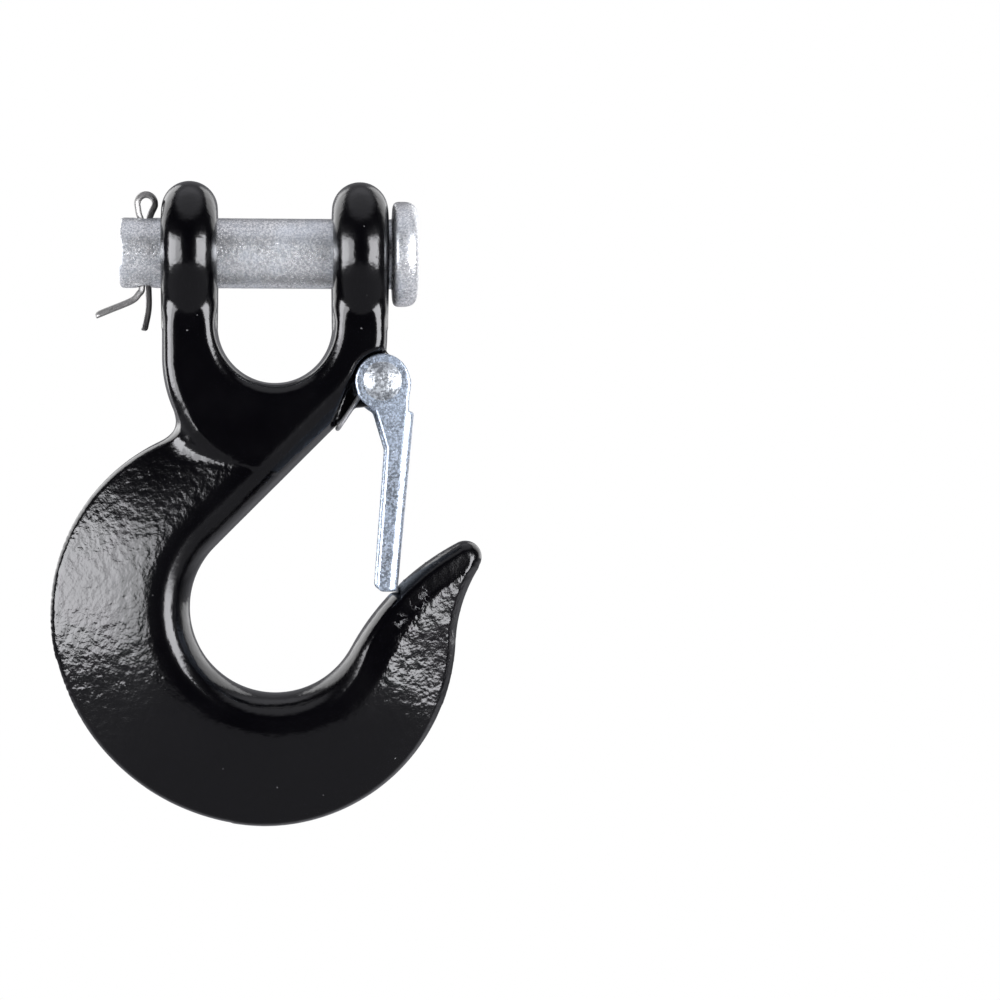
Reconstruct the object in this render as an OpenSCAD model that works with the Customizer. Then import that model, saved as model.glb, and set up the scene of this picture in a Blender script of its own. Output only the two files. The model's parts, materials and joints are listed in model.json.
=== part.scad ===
// Clevis slip hook with a spring latch, for a safety chain.
// The hook lies in the XZ plane. The clevis pin runs along X through the
// origin, which is the middle of the pin between the two eyes. +Z is up,
// and the opening of the hook faces +X.

/* [Clevis pin] */
// Diameter of the clevis pin
pin_d = 12.7; // [10:0.1:12.7]
// Clearance of the pin in the eyes, on the radius
pin_play = 0.08; // [0.05:0.01:0.1]
// Where the plain end of the pin lies, left of the middle
pin_left = 28; // [27.5:0.1:29]
// Diameter of the pin's head
pin_head_d = 19.1; // [16:0.1:20]
// Thickness of the pin's head
pin_head_t = 4.5; // [3:0.1:6]

/* [Fork] */
// Width of the gap between the eyes
gap_w = 20.7; // [19:0.1:22]
// Thickness of one eye
eye_t = 10.15; // [9:0.05:10.5]
// Outer diameter of one eye
eye_d = 26.1; // [24:0.1:28]
// Height of the bottom arc's centre below the pin
gap_drop = 13.15; // [12:0.05:14]

/* [Hook] */
// Radius of the bowl that carries the load
bowl_r = 15.55; // [15:0.05:15.6]
// Half thickness of the hook at the shank
half_t = 9.2; // [8.5:0.1:9.6]
// Half thickness of the thin outer edge
edge_t = 2.2; // [1.8:0.1:3]

/* [Latch] */
// Outer width of the latch
latch_w = 16.2; // [16:0.1:17]
// Thickness of the latch's sheet
sheet = 1.5; // [1.2:0.1:1.6]
// Radius of the latch's round eyes
latch_eye_r = 4.8; // [4.4:0.1:5]
// Diameter of the rivet's shank
rivet_d = 4.4; // [4:0.1:4.5]
// Clearance of the rivet in the hook's boss, on the radius
rivet_play = 0.08; // [0.05:0.01:0.1]
// Diameter of the rivet's domed heads
rivet_head_d = 7.0; // [6:0.1:7.4]

/* [Spring and split pin] */
// Diameter of the spring wire
wire = 0.9; // [0.8:0.05:0.95]
// Thickness of one leg of the split pin
leg_t = 1.12; // [1:0.02:1.2]
// Diameter of the hole for the split pin
cotter_hole = 3.2; // [2.8:0.1:3.4]

/* [Hidden] */
$fn = 64;

// centre of the latch's hinge, in X and Z
piv = [19.27, -23.4];
// half width of the hook's boss, between the spring's coils
boss_h = 3.2;
gap_h = gap_w / 2;
eye_r = eye_d / 2;
eye_c = gap_h + eye_t / 2;
ear_in = latch_w / 2 - sheet;
// the bowl's centre, and the line x - z = shank_k of the shank's throat side
bowl_c = [0.15, -64.24];
shank_k = bowl_c[0] - bowl_c[1] - bowl_r * sqrt(2);
cotter_x = -23.5;

function arc(c, r, a0, a1, n) =
    [for (i = [0 : n - 1]) c + r * [cos(a0 + (a1 - a0) * i / n), sin(a0 + (a1 - a0) * i / n)]];
function seg(a, b, n) = [for (i = [0 : n - 1]) a + (b - a) * i / n];

// A closed body between rings of equal length, from the first ring to the last.
module rings(rs) {
    n = len(rs);
    m = len(rs[0]);
    polyhedron(
        points = [for (r = rs) for (p = r) p],
        faces = concat(
            [[for (j = [0 : m - 1]) j]],
            [for (i = [0 : n - 2]) for (j = [0 : m - 1])
                [i * m + j, (i + 1) * m + j, (i + 1) * m + (j + 1) % m]],
            [for (i = [0 : n - 2]) for (j = [0 : m - 1])
                [i * m + j, (i + 1) * m + (j + 1) % m, i * m + (j + 1) % m]],
            [[for (j = [m - 1 : -1 : 0]) (n - 1) * m + j]]));
}

// A point at depth s from a towards b in the hook's plane, at y.
function across(a, b, s, y) = let (w = norm(b - a), p = a + (b - a) * s / w) [p[0], y, p[1]];

// ---- the bowl: one section for each pair of rail points -------------------
tip_c = [55.61, -93.26];
nose_c = [34.67, -55.2];
inner_rail = concat(
    seg([12.2, 12.2 - shank_k], [-4.6, -4.6 - shank_k], 4),
    seg([-4.6, -4.6 - shank_k], bowl_c + bowl_r * [cos(135), sin(135)], 3),
    arc(bowl_c, bowl_r, 135, 194, 9),
    arc(bowl_c, bowl_r, 194, 259.7, 12),
    arc(bowl_c, bowl_r, 259.7, 331.6, 12),
    arc(tip_c, 46.77, 152.4, 119, 14),
    arc(nose_c, 3, 119, 45, 5));
outer_rail = concat(
    seg([-7, -25], [-18.4, -33.2], 4),
    arc([-5.8, -65.5], 34.75, 112.5, 194, 12),
    arc([-0.6, -64.2], 39.9, 194, 259.7, 12),
    arc([-1.6, -69.7], 34.4, 259.7, 330, 12),
    arc([-1.6, -69.7], 34.4, 330, 338.4, 2),
    arc([-3.65, -68.9], 36.67, -21.6, -2.8, 5),
    arc([61.17, -72.07], 28.25, 177.2, 147.5, 7),
    arc(nose_c, 3, -32.5, 41, 5));

// half thickness at the ridge, and at the outer edge, along the hook
function ridge_h(i) = lookup(i, [[0, half_t], [4, half_t], [28, half_t - 0.4], [40, half_t - 1.2],
    [47, 6.4], [54, 4.0], [56, 3.4], [57, 2.8], [58, 1.6]]);
function edge_h(i) = lookup(i, [[0, half_t - 2], [2, half_t - 2], [5, 3.2], [10, edge_t],
    [28, edge_t], [40, edge_t + 0.4], [47, 2.9], [54, 2.4], [58, 0.8]]);

function bowl_ring(i) =
    let (a = inner_rail[i], b = outer_rail[i], w = norm(b - a), h = ridge_h(i), e = edge_h(i),
        ri = min(5.5, 0.42 * w), re = min(1.6, 0.2 * w), k = ri + 0.3 * (w - ri - re),
        front = concat(
            [for (t = [0, 18, 36, 54, 72]) across(a, b, ri * (1 - cos(t)), h * sin(t))],
            [across(a, b, ri, h), across(a, b, k, h - 0.1)],
            [for (t = [75, 45, 15]) across(a, b, w - re + re * cos(t), e * sin(t) / sin(75))]))
    concat(front, [for (j = [len(front) - 1 : -1 : 1]) [front[j][0], -front[j][1], front[j][2]]]);

module bowl() {
    rings([for (i = [len(inner_rail) - 1 : -1 : 0]) bowl_ring(i)]);
}

// ---- the fork: down one arm, round the gap and up the other ---------------
gap_c = [0, -gap_drop];
out_x = gap_h + eye_t;
// distance from the gap's centre to the fork's outer side, along angle f
function reach(f) =
    let (c = cos(f), s = sin(f),
        side = abs(c) > 0.3 ? (out_x - 1.6 * max(0, (-s - 0.22))) / abs(c) : 99,
        throat = c - s > 0.2 ? (shank_k - gap_drop - 2.2) / (c - s) : 99)
    min(side, throat, 27);
function fork_ring(a, b, h, q) =
    let (w = norm(b - a), qq = min(q, w / 2 - 0.02),
        cs = [[qq, h - qq, 180], [w - qq, h - qq, 90], [w - qq, qq - h, 0], [qq, qq - h, -90]])
    [for (c = cs) for (t = [0 : 22.5 : 90])
        across(a, b, c[0] + qq * cos(c[2] - t), c[1] + qq * sin(c[2] - t))];
arm_z = [0, -3.5, -7, -10.5];
function arm_h(z) = lookup(-z, [[0, eye_r], [3.5, eye_r - 0.25], [7, eye_r - 0.9], [13, 10.6], [18, half_t + 0.6], [23, half_t + 0.3], [60, half_t + 0.2]]);
function arm_q(z) = lookup(-z, [[0, 5.05], [8, 4.6], [20, 3.4], [60, 3]]);

module fork() {
    rings(concat(
        [for (z = arm_z) fork_ring([gap_h, z], [out_x, z], arm_h(z), arm_q(z))],
        [for (f = [360 : -7.5 : 180]) let (z = -gap_drop + 18 * sin(f))
            fork_ring(gap_c + gap_h * [cos(f), sin(f)], gap_c + reach(f) * [cos(f), sin(f)],
                arm_h(z), arm_q(z))],
        [for (j = [3 : -1 : 0]) let (z = arm_z[j]) fork_ring([-gap_h, z], [-out_x, z], arm_h(z), arm_q(z))]));
}

// One eye, fully rounded over its rim, about the pin's axis.
module eye(x) {
    q = eye_t / 2;
    translate([x, 0, 0]) rotate([0, 90, 0]) rotate_extrude()
        union() {
            translate([0, -q]) square([eye_r - q, eye_t]);
            translate([eye_r - q, 0]) circle(r = q);
        }
}

// Extrudes an outline of the XZ plane from y0 to y1.
module plate(y0, y1) {
    translate([0, y1, 0]) rotate([90, 0, 0]) linear_extrude(height = y1 - y0) children();
}

// The forged shape without its eyes, boss and bores.
module forging() {
    difference() {
        union() {
            fork();
            bowl();
        }
        // room beside the boss for the latch's ears and the spring
        for (y = [boss_h, -20]) plate(y, y + 20 - boss_h) {
            translate(piv) circle(r = 6, $fn = 48);
            polygon([piv + [0, 6], piv + [-4.6, 3.9], piv + [-6.6, 0],
                [10.4, -31.2], [13, -36], [28, -36], [28, -17.4]]);
        }
        // seat for the latch's end, inside the tip
        plate(-12, 12) polygon([[18, -61.65], [22.3, -61.65], [22.3, -57], [18, -57]]);
    }
}

module hook_body() color([0.03, 0.03, 0.035]) {
    difference() {
        union() {
            resize([0, 0, 0]) forging();
            eye(-eye_c);
            eye(eye_c);
            // boss of the latch's hinge
            plate(-boss_h, boss_h) {
                translate(piv) circle(r = 4.2);
                polygon([[out_x - 1.2, -14.2], [out_x + 1.9, -19.6], piv + [4.1, -1], piv + [0.5, -4.15],
                    [14.6, 14.6 - shank_k - 0.2], [9.3, 9.3 - shank_k + 0.6], [3.3, -30.3], [12.3, -18.2]]);
            }
        }
        // bore through both eyes
        rotate([0, 90, 0]) cylinder(h = 60, r = pin_d / 2 + pin_play, center = true);
        // bore for the latch's rivet
        translate([piv[0], 0, piv[1]]) rotate([90, 0, 0])
            cylinder(h = 20, r = rivet_d / 2 + rivet_play, center = true);
    }
}

module clevis_pin() color([0.78, 0.8, 0.83]) {
    r = pin_d / 2;
    hr = pin_head_d / 2;
    x1 = out_x + 0.9;
    difference() {
        translate([-pin_left, 0, 0]) rotate([0, 90, 0]) rotate_extrude()
            polygon(concat(
                [[0, 0], [r - 0.7, 0], [r, 0.7], [r, x1 + pin_left], [hr - 0.6, x1 + pin_left], [hr, x1 + pin_left + 0.7]],
                [for (a = [0 : 15 : 90]) [hr - 1.3 + 1.3 * cos(a), x1 + pin_left + pin_head_t - 1.3 + 1.3 * sin(a)]],
                [[0, x1 + pin_left + pin_head_t]]));
        translate([cotter_x, 0, 0]) cylinder(h = 30, d = cotter_hole, center = true);
    }
}

// ---- the split pin: half-round wire along a path in the XZ plane ----------
leg_w = leg_t / 2;
// path of the wire's flat side, from the end of the bent leg to the other end
cotter_path = concat(
    [[-32.2, -11.9], [-29.3, -10.7], [-26.6, -9.6], [-25.1, -8.8], [-24.3, -7.9]],
    [[-23.6, -6.9], [-23.55, -5], [-23.55, 0], [-23.6, 5], [-23.75, 6.3]],
    [[-24.1, 7.3]],
    [for (a = [200 : -20 : -20]) [-23.3, 8.9] + [1.05 * cos(a), 1.15 * sin(a)]],
    [[-22.85, 7.4], [-23.2, 6.3], [-23.4, 5], [-23.45, 0], [-23.45, -5], [-23.4, -7]],
    [[-23.35, -9], [-23.45, -10.6], [-23.75, -12.2], [-24.15, -14]]);
function dir2(p, i) = let (n = len(p), a = p[max(0, i - 1)], b = p[min(n - 1, i + 1)]) (b - a) / norm(b - a);
function half_round(p, d, r, t) =
    let (nrm = [-d[1], d[0]])
    concat([for (a = [0 : 30 : 180]) [p[0] + nrm[0] * t * sin(a), r * cos(a), p[1] + nrm[1] * t * sin(a)]]);

module cotter_pin() color([0.66, 0.67, 0.68])
    rings([for (i = [0 : len(cotter_path) - 1])
        half_round(cotter_path[i], dir2(cotter_path, i), leg_t + 0.08, leg_t)]);

// ---- the latch -------------------------------------------------------------
web_a = [22.0, -61.3];
web_b = [25.0, -29.0];
web_d = (web_b - web_a) / norm(web_b - web_a);
web_tilt = atan2(web_d[0], web_d[1]);
// outline of the latch seen from its side
module latch_side() {
    translate(piv) circle(r = latch_eye_r);
    polygon(concat(
        [piv + [-4.0, -2.5], [17.96, -28.57], [20.06, -35.48], [18.3, -59.9]],
        [for (a = [180 : 15 : 270]) [19.5, -60.1] + 1.2 * [cos(a), sin(a)]],
        [web_a + [0.6, 0], web_b + [0.6, 0], [24.05, -28.8], piv + [4.78, 0]]));
}
module latch() color([0.7, 0.74, 0.8]) {
    w = latch_w / 2;
    difference() {
        intersection() {
            plate(-w - 1, w + 1) latch_side();
            // the channel's section, drawn along the web
            translate([web_a[0], 0, web_a[1]]) rotate([0, web_tilt, 0]) translate([0, 0, -10])
                linear_extrude(height = 60) difference() {
                    union() {
                        translate([-16, -w]) square([14.2, 2 * w]);
                        translate([-16, 1.8 - w]) square([16, 2 * w - 3.6]);
                        for (s = [-1, 1]) translate([-1.8, s * (w - 1.8)]) circle(r = 1.8);
                    }
                    translate([-17, -ear_in]) square([17 - sheet, 2 * ear_in]);
                }
        }
        // no web beside the eyes
        translate([10, -ear_in, -28.9]) cube([20, 2 * ear_in, 20]);
        translate([piv[0], 0, piv[1]]) rotate([90, 0, 0])
            cylinder(h = 40, r = rivet_d / 2 + 0.02, center = true);
    }
}

module latch_rivet() color([0.82, 0.84, 0.86]) {
    w = latch_w / 2;
    hr = rivet_head_d / 2;
    hh = 1.4;
    dome_r = (hr * hr + hh * hh) / (2 * hh);
    translate([piv[0], 0, piv[1]]) rotate([90, 0, 0]) {
        cylinder(h = 2 * w, d = rivet_d, center = true);
        for (s = [0, 180]) rotate([s, 0, 0]) translate([0, 0, w])
            rotate_extrude() intersection() {
                translate([0, hh - dome_r]) circle(r = dome_r);
                square([hr, hh]);
            }
    }
}

// ---- the spring: one wire, free end - coil - bridge - coil - free end ------
coil_r = rivet_d / 2 + 0.1 + wire / 2 + 0.05;
turn = 871;
y_in = boss_h + wire / 2 + 0.08;
y_out = ear_in - wire / 2 - 0.05;
// half of the wire's path on the side y > 0, from the middle of the bridge
bridge = [11.45, 11.45 - shank_k - 0.75];
half_path = concat(
    [[bridge[0], 0, bridge[1]], [bridge[0], 1.6, bridge[1]], [bridge[0], 2.9, bridge[1]],
     [bridge[0] + 0.15, 3.6, bridge[1] + 0.22], [bridge[0] + 0.6, y_in, bridge[1] + 0.9],
     [13.6, y_in, -28.5], [15.2, y_in, -25.95], [16.3, y_in, -23.7]],
    [for (i = [0 : 52]) let (a = 150 - (turn + 5) * i / 52)
        [piv[0] + coil_r * cos(a), y_in + (y_out - y_in) * i / 52, piv[1] + coil_r * sin(a)]],
    [[piv[0] + coil_r + 0.1, y_out, -26], [22.35, y_out, -29.5], [22.3, y_out, -33.5]]);
spring_path = concat(
    [for (i = [len(half_path) - 1 : -1 : 1]) [half_path[i][0], -half_path[i][1], half_path[i][2]]],
    half_path);
function dir3(p, i) = let (n = len(p), a = p[max(0, i - 1)], b = p[min(n - 1, i + 1)]) (b - a) / norm(b - a);
// a frame that never twists: its first axis stays as close to u as it can
function frame_u(d, u) = let (v = u - d * (u * d)) v / norm(v);
function frames(p, i, u) = i >= len(p) ? [] : let (v = frame_u(dir3(p, i), u)) concat([v], frames(p, i + 1, v));

module latch_spring() color([0.75, 0.75, 0.76]) {
    fr = frames(spring_path, 0, [1, 0.1, 0.05]);
    rings([for (i = [0 : len(spring_path) - 1])
        let (d = dir3(spring_path, i), u = fr[i], v = cross(d, u))
        [for (a = [0 : 45 : 315]) spring_path[i] + wire / 2 * (u * cos(a) + v * sin(a))]]);
}

hook_body();
clevis_pin();
cotter_pin();
latch();
latch_rivet();
latch_spring();
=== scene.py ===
import json
import math

import bpy
import numpy as np
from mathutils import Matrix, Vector

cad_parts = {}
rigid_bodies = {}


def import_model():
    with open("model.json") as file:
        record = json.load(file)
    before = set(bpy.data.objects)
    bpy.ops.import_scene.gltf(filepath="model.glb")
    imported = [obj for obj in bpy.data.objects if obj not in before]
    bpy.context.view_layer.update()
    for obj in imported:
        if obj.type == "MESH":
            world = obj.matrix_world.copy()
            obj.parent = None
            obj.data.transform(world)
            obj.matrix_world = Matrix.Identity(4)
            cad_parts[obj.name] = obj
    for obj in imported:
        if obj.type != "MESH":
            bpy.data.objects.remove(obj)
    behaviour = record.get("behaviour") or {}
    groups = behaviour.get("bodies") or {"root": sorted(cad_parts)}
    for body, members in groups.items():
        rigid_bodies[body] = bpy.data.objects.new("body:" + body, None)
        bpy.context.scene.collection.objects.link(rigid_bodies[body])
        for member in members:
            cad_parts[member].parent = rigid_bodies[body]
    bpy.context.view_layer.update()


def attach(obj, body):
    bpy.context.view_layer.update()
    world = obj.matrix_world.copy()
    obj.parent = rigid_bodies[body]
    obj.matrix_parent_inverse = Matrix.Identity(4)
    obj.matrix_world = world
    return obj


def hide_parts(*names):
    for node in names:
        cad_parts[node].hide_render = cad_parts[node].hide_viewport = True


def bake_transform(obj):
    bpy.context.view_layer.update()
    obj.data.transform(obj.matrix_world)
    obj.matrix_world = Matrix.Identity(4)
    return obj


# nothing from the start-up file stays
for o in list(bpy.data.objects):
    bpy.data.objects.remove(o, do_unlink=True)

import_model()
MM = 0.001

# ---------------------------------------------------------------------------
# numbers shared with the CAD part, in millimetres
# ---------------------------------------------------------------------------
PIN_R = 6.35
GAP = 10.35
EYE_T = 10.15
EYE_R = 13.05
EYE_C = GAP + EYE_T / 2
OUT_X = GAP + EYE_T
GAP_DROP = 13.15
BOWL = (0.15, -64.24, 15.55)
SHANK_K = 0.15 + 64.24 - 15.55 * math.sqrt(2)
PIV = (19.27, -23.4)
BOSS_H = 3.2
LATCH_W = 16.2
SHEET = 1.5
EAR_IN = LATCH_W / 2 - SHEET
RIVET_R = 2.2
WIRE = 0.9
LEG_T = 1.12
COTTER_X = -23.5


# ---------------------------------------------------------------------------
# small numeric helpers
# ---------------------------------------------------------------------------
def smooth(x, a, b):
    t = np.clip((x - a) / (b - a), 0.0, 1.0)
    return t * t * (3 - 2 * t)


def smin(a, b, k):
    k = np.maximum(k, 1e-4)
    h = np.maximum(k - np.abs(a - b), 0.0) / k
    return np.minimum(a, b) - h * h * k * 0.25


def smax(a, b, k):
    return -smin(-a, -b, k)


def soft_table(xs, ys, blur):
    """A curve through the given points with its corners rounded off over blur."""
    lo, hi = xs[0] - 4 * blur, xs[-1] + 4 * blur
    n = 1600
    t = np.linspace(lo, hi, n)
    v = np.interp(t, xs, ys)
    step = (hi - lo) / (n - 1)
    half = max(1, int(3 * blur / step))
    kernel = np.exp(-0.5 * (np.arange(-half, half + 1) * step / blur) ** 2)
    kernel /= kernel.sum()
    v = np.convolve(np.pad(v, half, mode="edge"), kernel, mode="valid")
    return lambda x: np.interp(x, t, v)


def hash01(ix, iy, iz, seed):
    m = np.uint32
    with np.errstate(over="ignore"):
        h = (ix.astype(np.int64).astype(m) * m(374761393) + iy.astype(np.int64).astype(m) * m(668265263)
             + iz.astype(np.int64).astype(m) * m(1274126177) + m(seed) * m(974634777))
        h = (h ^ (h >> m(13))) * m(1274126177)
        h = h ^ (h >> m(16))
    return h.astype(np.float64) / 4294967295.0


def noise(p, size, seed=0):
    """Gradient noise, about -1 to 1, with cells of the given size in millimetres."""
    q = p / np.asarray(size, float)
    i = np.floor(q)
    f = q - i
    w = f * f * f * (f * (f * 6 - 15) + 10)
    total = 0.0
    for cx in (0, 1):
        for cy in (0, 1):
            for cz in (0, 1):
                ix, iy, iz = i[:, 0] + cx, i[:, 1] + cy, i[:, 2] + cz
                a = hash01(ix, iy, iz, seed) * 2 * math.pi
                b = hash01(ix, iy, iz, seed + 77) * 2 - 1
                r = np.sqrt(np.maximum(0, 1 - b * b))
                dot = (f[:, 0] - cx) * r * np.cos(a) + (f[:, 1] - cy) * r * np.sin(a) + (f[:, 2] - cz) * b
                wx = w[:, 0] if cx else 1 - w[:, 0]
                wy = w[:, 1] if cy else 1 - w[:, 1]
                wz = w[:, 2] if cz else 1 - w[:, 2]
                total = total + dot * wx * wy * wz
    return total * 1.6


def nets(values, origin, h):
    """A quad mesh of the zero surface of a sampled field, negative inside."""
    inside = values < 0
    nx, ny, nz = values.shape
    count = np.zeros((nx - 1, ny - 1, nz - 1), np.int8)
    corners = [(a, b, c) for a in (0, 1) for b in (0, 1) for c in (0, 1)]
    for a, b, c in corners:
        count += inside[a:nx - 1 + a, b:ny - 1 + b, c:nz - 1 + c]
    cells = np.argwhere((count > 0) & (count < 8))
    index = -np.ones(count.shape, np.int64)
    index[cells[:, 0], cells[:, 1], cells[:, 2]] = np.arange(len(cells))
    val = {k: values[cells[:, 0] + k[0], cells[:, 1] + k[1], cells[:, 2] + k[2]] for k in corners}
    total = np.zeros((len(cells), 3))
    hits = np.zeros(len(cells))
    for k in corners:
        for axis in range(3):
            if k[axis]:
                continue
            m = list(k)
            m[axis] = 1
            m = tuple(m)
            a, b = val[k], val[m]
            cross = (a < 0) != (b < 0)
            t = np.where(cross, a / np.where(cross, a - b, 1.0), 0.0)
            p = np.tile(np.array(k, float), (len(cells), 1))
            p[:, axis] = t
            total += np.where(cross[:, None], p, 0.0)
            hits += cross
    verts = (cells + total / hits[:, None]) * h + np.array(origin)
    quads = []
    for axis in range(3):
        u, v = [a for a in range(3) if a != axis]
        if axis == 1:
            u, v = v, u
        s0 = [slice(None)] * 3
        s1 = [slice(None)] * 3
        s0[axis] = slice(0, -1)
        s1[axis] = slice(1, None)
        a, b = inside[tuple(s0)], inside[tuple(s1)]
        for flip, mask in ((False, a & ~b), (True, ~a & b)):
            e = np.argwhere(mask)
            ok = (e[:, u] > 0) & (e[:, v] > 0) & (e[:, u] < values.shape[u] - 1) & (e[:, v] < values.shape[v] - 1)
            e = e[ok]
            ring = []
            for du, dv in ((-1, -1), (0, -1), (0, 0), (-1, 0)):
                c = e.copy()
                c[:, u] += du
                c[:, v] += dv
                ring.append(index[c[:, 0], c[:, 1], c[:, 2]])
            ring = np.stack(ring, 1)
            quads.append(ring[:, ::-1] if flip else ring)
    return verts, np.concatenate(quads)


def face_normals(v, q):
    return np.cross(v[q[:, 2]] - v[q[:, 0]], v[q[:, 3]] - v[q[:, 1]])


def vertex_normals(v, q):
    n = face_normals(v, q)
    out = np.zeros_like(v)
    for k in range(4):
        for a in range(3):
            out[:, a] += np.bincount(q[:, k], n[:, a], minlength=len(v))
    return out / np.maximum(np.linalg.norm(out, axis=1, keepdims=True), 1e-12)


def relax(v, q, n, amount):
    """Slides points along the surface towards the middle of their neighbours."""
    total = np.zeros_like(v)
    hits = np.zeros(len(v))
    for k in range(4):
        for other in (q[:, (k + 1) % 4], q[:, (k + 3) % 4]):
            hits += np.bincount(q[:, k], minlength=len(v))
            for a in range(3):
                total[:, a] += np.bincount(q[:, k], v[other, a], minlength=len(v))
    d = total / hits[:, None] - v
    d -= n * (d * n).sum(1, keepdims=True)
    return v + d * amount


def solid_from(field, lo, hi, h, rounds=3):
    """A dense even mesh of field(x, y, z) = 0, in millimetres. The field is the same for y and -y."""
    half = int(math.ceil(max(abs(lo[1]), abs(hi[1])) / h)) + 1
    xs = np.arange(lo[0] - 2 * h, hi[0] + 2 * h, h)
    zs = np.arange(lo[2] - 2 * h, hi[2] + 2 * h, h)
    ys = np.arange(0, half + 1) * h
    part = field(xs[:, None, None], ys[None, :, None], zs[None, None, :])
    part = np.broadcast_to(part, (len(xs), len(ys), len(zs)))
    full = np.concatenate([part[:, :0:-1], part], 1)
    v, q = nets(full, (xs[0], -half * h, zs[0]), h)
    for _ in range(rounds):
        n = vertex_normals(v, q)
        v = relax(v, q, n, 0.6)
        d = np.clip(field(v[:, 0], np.abs(v[:, 1]), v[:, 2]), -h, h)
        v = v - n * d[:, None]
    n = vertex_normals(v, q)
    d = np.clip(field(v[:, 0], np.abs(v[:, 1]), v[:, 2]), -h, h)
    v = v - n * d[:, None]
    if (v[q[:, 0]] * face_normals(v, q)).sum() < 0:
        q = q[:, ::-1]
    return v, q


def mesh_object(name, v, faces, attributes=None):
    """A smooth-shaded object of points given in millimetres."""
    mesh = bpy.data.meshes.new(name)
    v = np.asarray(v, float) * MM
    if isinstance(faces, np.ndarray):
        k = faces.shape[1]
        mesh.vertices.add(len(v))
        mesh.vertices.foreach_set("co", v.astype(np.float32).ravel())
        mesh.loops.add(faces.size)
        mesh.loops.foreach_set("vertex_index", faces.astype(np.int32).ravel())
        mesh.polygons.add(len(faces))
        mesh.polygons.foreach_set("loop_start", (np.arange(len(faces)) * k).astype(np.int32))
        mesh.update(calc_edges=True)
        mesh.validate()
    else:
        mesh.from_pydata([tuple(p) for p in v], [], [tuple(f) for f in faces])
        mesh.update()
    mesh.polygons.foreach_set("use_smooth", [True] * len(mesh.polygons))
    for key, data in (attributes or {}).items():
        layer = mesh.attributes.new(key, "FLOAT", "POINT")
        layer.data.foreach_set("value", np.asarray(data, np.float32))
    obj = bpy.data.objects.new(name, mesh)
    bpy.context.scene.collection.objects.link(obj)
    return obj


# ---------------------------------------------------------------------------
# the forged hook: its rails, its section and its fork as one smooth field
# ---------------------------------------------------------------------------
# each arc: centre, radius, from and to angle, and +1 if the metal is outside it
INNER = [("line", 40.0, 40.0 - SHANK_K, -10.845, -10.845 - SHANK_K, 1),
         ("arc", 0.15, -64.24, 15.55, 135, 331.46, 1),
         ("arc", 54.905, -94.025, 46.77, 117.53, 151.46, -1),
         ("arc", 34.67, -55.2, 3.0, 43, 117.53, -1)]
OUTER = [("arc", -5.8, -65.5, 34.75, 58, 194, -1),
         ("arc", -0.6, -64.2, 39.9, 194, 259.7, -1),
         ("arc", -1.6, -69.7, 34.4, 259.7, 338.4, -1),
         ("arc", -3.65, -68.9, 36.67, -21.6, -2.8, -1),
         ("arc", 61.17, -72.07, 28.25, 147.5, 177.2, 1),
         ("arc", 34.67, -55.2, 3.0, -32.5, 43, -1)]


def rail(x, z, parts):
    best = np.full(np.broadcast(x, z).shape, 1e9)
    out = np.zeros_like(best)
    for part in parts:
        if part[0] == "line":
            _, x0, z0, x1, z1, side = part
            dx, dz = x1 - x0, z1 - z0
            ll = dx * dx + dz * dz
            t = np.clip(((x - x0) * dx + (z - z0) * dz) / ll, 0, 1)
            d = np.hypot(x - x0 - t * dx, z - z0 - t * dz)
            s = np.sign((z - z0) * dx - (x - x0) * dz) * -side
        else:
            _, cx, cz, r, a0, a1, side = part
            mid, half = math.radians((a0 + a1) / 2), math.radians((a1 - a0) / 2)
            a = np.arctan2(z - cz, x - cx) - mid
            a = (a + math.pi) % (2 * math.pi) - math.pi
            a = np.clip(a, -half, half) + mid
            d = np.hypot(x - cx - r * np.cos(a), z - cz - r * np.sin(a))
            s = np.sign(np.hypot(x - cx, z - cz) - r) * side
        nearer = d < best
        out = np.where(nearer, d * s, out)
        best = np.where(nearer, d, best)
    return out


ridge_by_angle = soft_table([60, 105, 150, 200, 260, 330, 400], [8.6, 8.6, 9.0, 9.0, 8.8, 8.1, 8.0], 8)
ridge_by_nose = soft_table([0, 3, 6, 17, 30, 46], [3.4, 3.9, 4.6, 6.6, 8.1, 9.6], 1.4)
inner_by_angle = soft_table([60, 300, 340, 400], [5.5, 5.3, 2.4, 2.2], 6)
outer_by_angle = soft_table([60, 110, 140, 260, 320, 345, 400], [1.6, 1.4, 0.8, 0.8, 1.1, 1.7, 1.7], 6)
outer_power = soft_table([60, 300, 340, 400], [1.7, 1.7, 1.22, 1.22], 5)
facet_by_angle = soft_table([60, 110, 300, 330, 345, 400], [6.2, 6.0, 5.9, 6.4, 6.2, 5.2], 5)
facet_by_nose = soft_table([0, 4.7, 8, 14, 20, 60], [3.9, 4.4, 5.2, 5.6, 9.0, 9.0], 0.8)
turn_by_angle = soft_table([60, 300, 335, 400], [3.4, 3.2, 1.2, 0.8], 6)
slope_by_angle = soft_table([60, 130, 200, 300, 340, 400], [0.50, 0.52, 0.50, 0.46, 0.50, 0.50], 8)


def in_tip(x, z):
    """Whether a point near the tip lies in its outline."""
    nose = np.hypot(x - 34.67, z + 55.2) < 3.0
    behind = (x - 33.283) * 4.27 + (z + 52.54) * 3.917 < 0
    body = (np.hypot(x - 54.905, z + 94.025) < 46.77) & (np.hypot(x - 61.17, z + 72.07) > 28.25) & behind
    return nose | body


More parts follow.
